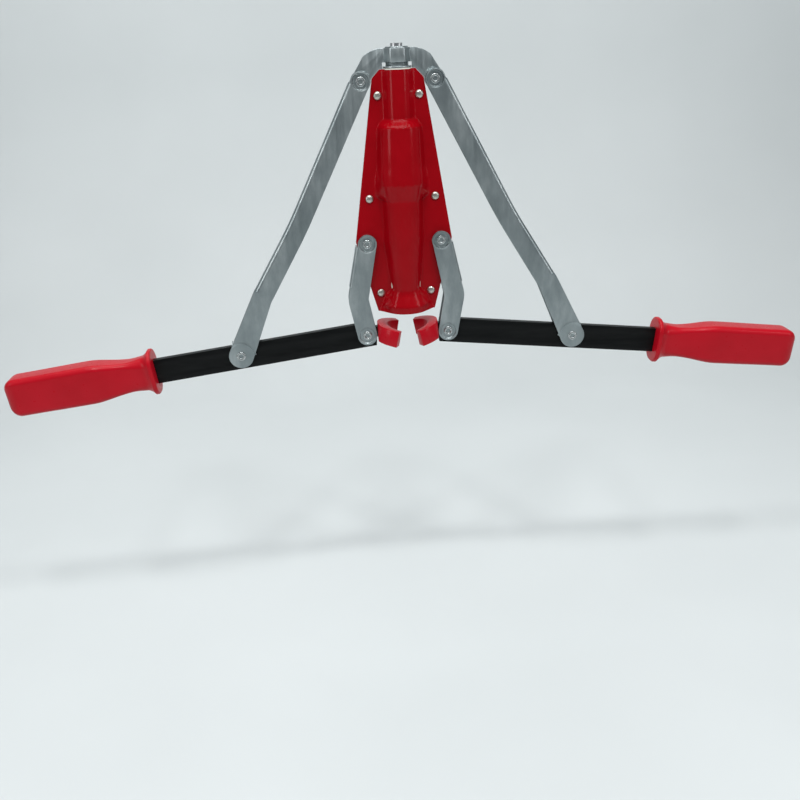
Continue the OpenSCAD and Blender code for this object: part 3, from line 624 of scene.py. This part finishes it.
def natural_nylon():
    """Moulded nylon: milky, faintly yellow, dull, with slight flow clouds."""
    made, tree, shader = material("natural_nylon")
    colour = tinted(tree, mottle(tree, 90, 3), [(0.3, (0.66, 0.63, 0.55)), (0.7, (0.74, 0.72, 0.65))])
    tree.links.new(colour, shader.inputs["Base Color"])
    shader.inputs["Subsurface Weight"].default_value = 0.1
    shader.inputs["Subsurface Radius"].default_value = (0.002, 0.0015, 0.001)
    tree.links.new(between(tree, mottle(tree, 500, 3), 0.42, 0.56), shader.inputs["Roughness"])
    tree.links.new(relief(tree, mottle(tree, 900, 3), 0.00003, 0.5), shader.inputs["Normal"])
    return made


def dressed(node, made):
    """Gives a solid that shows as it is its material."""
    solid = frame["nodes"][node]
    for i in range(max(1, len(solid.material_slots))):
        if i < len(solid.material_slots):
            solid.material_slots[i].link = "OBJECT"
            solid.material_slots[i].material = made
        else:
            solid.data.materials.append(made)


steel = ground_steel()
nylon = natural_nylon()
dressed("plunger_rod", steel)
dressed("cork_funnel", nylon)
dressed("guide_bush", nylon)

# ---------------------------------------------------------------------------
# The levers are 17.5 x 5 mm flat bar with their edges eased, dipped in black
# paint that is a little thin and worn where the links rub.
# ---------------------------------------------------------------------------
def black_paint():
    """Semi-gloss black on rolled bar: slight waviness along the bar, small dust and rubs that catch the light."""
    made, tree, shader = material("black_paint")
    rubs = mottle(tree, 350, 5, stretch=(0.12, 1, 1), rough=0.7)
    colour = tinted(tree, rubs, [(0.45, (0.0026, 0.0031, 0.0033)), (0.80, (0.0070, 0.0078, 0.0080))])
    tree.links.new(colour, shader.inputs["Base Color"])
    tree.links.new(between(tree, rubs, 0.30, 0.52), shader.inputs["Roughness"])
    fine = relief(tree, mottle(tree, 1100, 3), 0.00003, 0.5)
    waves = relief(tree, mottle(tree, 70, 2, stretch=(0.4, 1, 1)), 0.0001, 0.4, fine)
    tree.links.new(waves, shader.inputs["Normal"])
    shader.inputs["Specular IOR Level"].default_value = 0.15
    return made


black = black_paint()
for hand in ("left", "right"):
    bar = softened(f"{hand}_lever_bar", f"{hand}_lever", 0.5, 3)
    bar.data.materials.append(black)

# ---------------------------------------------------------------------------
# The jaws are sloping bands of red plastic, thick at the root, where the bar's
# tongue is pinned in. The pins are blind and end under the surface.
# ---------------------------------------------------------------------------
def red_plastic():
    """Moulded plastic: strong red with a little light scattered inside, a soft gloss and faint flow lines."""
    made, tree, shader = material("red_plastic")
    colour = tinted(tree, mottle(tree, 45, 3), [(0.3, (0.40, 0.0022, 0.0100)), (0.72, (0.46, 0.0032, 0.0130))])
    tree.links.new(colour, shader.inputs["Base Color"])
    tree.links.new(between(tree, mottle(tree, 380, 4), 0.27, 0.40), shader.inputs["Roughness"])
    fine = relief(tree, mottle(tree, 1500, 2), 0.00002, 0.5)
    tree.links.new(relief(tree, mottle(tree, 60, 2), 0.00012, 0.3, fine), shader.inputs["Normal"])
    shader.inputs["Specular IOR Level"].default_value = 0.14
    shader.inputs["Coat Weight"].default_value = 0.14
    shader.inputs["Coat Roughness"].default_value = 0.10
    return made


plastic = red_plastic()
for hand in ("left", "right"):
    jaw = softened(f"{hand}_neck_jaw", f"{hand}_jaw", 0.7, 3)
    jaw.data.materials.append(plastic)
    pin = softened(f"{hand}_jaw_pin", f"{hand}_jaw_rivet", 0.1)
    pin.data.materials.append(nickel)

# ---------------------------------------------------------------------------
# The handles are moulded on the bars in the same red plastic: a thin flared
# collar, a waisted neck and a long grip with flat sides and rounded edges.
# ---------------------------------------------------------------------------
COLLAR_AT, COLLAR_LEN, GRIP_LEN = 153.0, 2.6, 106.5
GRIP_HALF, TAIL_HALF, NECK_HALF, COLLAR_HALF = 14.2, 13.9, 11.1, 16.4
FOOT_H, RIM_R, TIP_R = 1.7, 1.2, 9.0


def step_up(t):
    """Smooth step from 0 to 1."""
    c = np.clip(t, 0, 1)
    return c * c * (3 - 2 * c)


def grip_sizes(s):
    """Half height and half thickness at distance s from the collar's face: neck, swell and slight taper, plus
    the collar with its hollow flare at one end and a rounded corner of radius TIP_R at the other."""
    waist = (NECK_HALF + (GRIP_HALF - NECK_HALF) * step_up((s - 18) / 29)
             - (GRIP_HALF - TAIL_HALF) * step_up((s - 48) / 48))
    foot = FOOT_H * (1 - step_up((s - COLLAR_LEN) / 15.5))
    rise = COLLAR_HALF - NECK_HALF - FOOT_H
    flare = rise * np.clip(1 - (s - COLLAR_LEN) / 5.4, 0, 1) ** 1.9
    flare = np.where(s < COLLAR_LEN, rise, flare)
    rim = RIM_R - np.sqrt(np.clip(RIM_R ** 2 - np.maximum(RIM_R - s, 0) ** 2, 0, None))
    tail = np.clip(s - (GRIP_LEN - TIP_R), 0, TIP_R)
    corner = TIP_R - np.sqrt(TIP_R ** 2 - tail ** 2)
    high = waist + foot + flare - rim - corner
    thick = 0.70 * (waist + foot + flare) - rim - corner * 0.85
    return high, np.maximum(thick, 0.4)


def grip_shape():
    """Rings along the bar's line. Each is a rectangle whose corners are quarter circles: nearly half round at the
    collar, with flat sides along the grip."""
    s = np.unique(np.concatenate([
        RIM_R - RIM_R * np.cos(np.radians(np.linspace(0, 90, 8))), np.linspace(RIM_R, 2.4, 3),
        np.linspace(2.5, 9, 26), np.linspace(9, 20, 16), np.linspace(20, GRIP_LEN - TIP_R, 60),
        GRIP_LEN - TIP_R + TIP_R * np.sin(np.radians(np.linspace(0, 90, 22)))]))
    high, thick = grip_sizes(s)
    radius = thick * (0.86 - 0.46 * step_up((s - 1) / 24))
    a = np.radians(np.concatenate([q * 90 + np.linspace(0, 90, 17) for q in range(4)]))
    quarter = np.repeat(np.arange(4), 17)
    sign_y, sign_z = np.array([1, -1, -1, 1])[quarter], np.array([1, 1, -1, -1])[quarter]
    v_y = (thick - radius)[:, None] * sign_y + radius[:, None] * np.cos(a)
    v_z = (high - radius)[:, None] * sign_z + radius[:, None] * np.sin(a)
    u = COLLAR_AT + s
    x = P_LEVER[0] + u[:, None] * ALONG[0] + v_z * ACROSS[0]
    z = P_LEVER[1] + u[:, None] * ALONG[1] + v_z * ACROSS[1]
    rings = np.stack([x, v_y, z], -1)
    rows, cols = rings.shape[:2]
    ends = []
    for row in (0, rows - 1):
        middle = rings[row].mean(axis=0)
        ends.append(middle[None, :] + (rings[row] - middle) * np.array([0.66, 0.33, 0.0])[:, None, None])
    grid = np.concatenate([ends[0][::-1], rings, ends[1]])
    return grid.reshape(-1, 3), grid_faces(len(grid), cols, wrap=True)


points, faces = grip_shape()
for hand in ("left", "right"):
    grip = new_piece(f"{hand}_grip", points if hand == "right" else mirrored(points), faces, outward=True,
                     sharp=60)
    grip.data.materials.append(plastic)
    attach(grip, f"{hand}_lever")
    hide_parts(f"{hand}_handle")

# ---------------------------------------------------------------------------
# Floor and backdrop are one sweep of pale matt paper. Soft lamps above and at
# the sides light it, and the camera looks slightly down.
# ---------------------------------------------------------------------------
def sweep():
    """A floor that curves up into a wall: a straight line, a quarter circle and a straight line, carried sideways."""
    front_y, floor_z, wall_y, top_z, half_width, radius = -1.6, -0.30, 1.05, 2.2, 2.2, 0.45
    a = np.radians(np.linspace(-90, 0, 24))
    bend = np.stack([wall_y - radius + radius * np.cos(a), floor_z + radius + radius * np.sin(a)], -1)
    path = np.concatenate([[[front_y, floor_z]], bend, [[wall_y, top_z]]])
    x = np.array([-half_width, half_width])
    grid = np.stack([np.broadcast_to(x, (len(path), 2)), np.repeat(path[:, :1], 2, 1),
                     np.repeat(path[:, 1:], 2, 1)], -1)
    points = grid.reshape(-1, 3) * 1000
    return points, facing(points, grid_faces(len(path), 2), (0, -1, 1))


backdrop = new_piece("studio_sweep", *sweep(), sharp=80)
made, tree, shader = material("pale_paper")
colour = tinted(tree, mottle(tree, 3, 3), [(0.3, (0.62, 0.655, 0.66)), (0.7, (0.66, 0.695, 0.70))])
tree.links.new(colour, shader.inputs["Base Color"])
shader.inputs["Roughness"].default_value = 0.75
tree.links.new(relief(tree, mottle(tree, 900, 2), 0.0001, 0.1), shader.inputs["Normal"])
backdrop.data.materials.append(made)

world = bpy.data.worlds.new("studio")
bpy.context.scene.world = world
world.use_nodes = True
world.node_tree.nodes["Background"].inputs["Color"].default_value = (0.80, 0.88, 0.92, 1)
world.node_tree.nodes["Background"].inputs["Strength"].default_value = 0.22


def lamp(name, place, target, size, power):
    """A soft rectangular lamp at place that faces target; size is in metres and power in watts."""
    data = bpy.data.lights.new(name, "AREA")
    data.shape = "RECTANGLE"
    data.size, data.size_y = size
    data.energy = power
    light = bpy.data.objects.new(name, data)
    bpy.context.scene.collection.objects.link(light)
    way = np.array(target, float) - np.array(place, float)
    way /= np.linalg.norm(way)
    right = np.cross(way, (0, 0, 1.0))
    right /= np.linalg.norm(right)
    up = np.cross(right, way)
    turn = Matrix([[right[i], up[i], -way[i]] for i in range(3)]).to_4x4()
    light.matrix_world = Matrix.Translation(place) @ turn


lamp("ceiling_glow", (-0.05, 0.0, 1.35), (0, 0.05, 0.05), (1.6, 1.2), 19.0)
for i, side in enumerate((-0.42, 0.0, 0.42)):
    lamp(f"ceiling_panel_{i}", (side, -0.75, 1.05), (0, 0, 0.05), (0.12, 0.09), 3.0)
lamp("left_window", (-1.15, -0.6, 0.45), (0, 0, 0.05), (0.35, 0.9), 3.5)
lamp("right_window", (1.15, -0.7, 0.5), (0, 0, 0.05), (0.3, 0.9), 3.0)

camera_data = bpy.data.cameras.new("camera")
camera_data.sensor_fit = "HORIZONTAL"
camera_data.sensor_width = 36.0
camera_data.lens = 40.5
camera = bpy.data.objects.new("camera", camera_data)
bpy.context.scene.collection.objects.link(camera)
CAMERA_AT = (-0.045074, -0.616974, 0.177335)
AHEAD = (0.056235, 0.926918, -0.371027)
RIGHT = (0.996181, -0.076949, -0.041251)
UP = (0.066787, 0.36729, 0.927705)
camera_turn = Matrix([[RIGHT[i], UP[i], -AHEAD[i]] for i in range(3)]).to_4x4()
camera.matrix_world = Matrix.Translation(CAMERA_AT) @ camera_turn
bpy.context.scene.camera = camera
bpy.context.scene.view_settings.view_transform = "Standard"

bpy.context.view_layer.update()
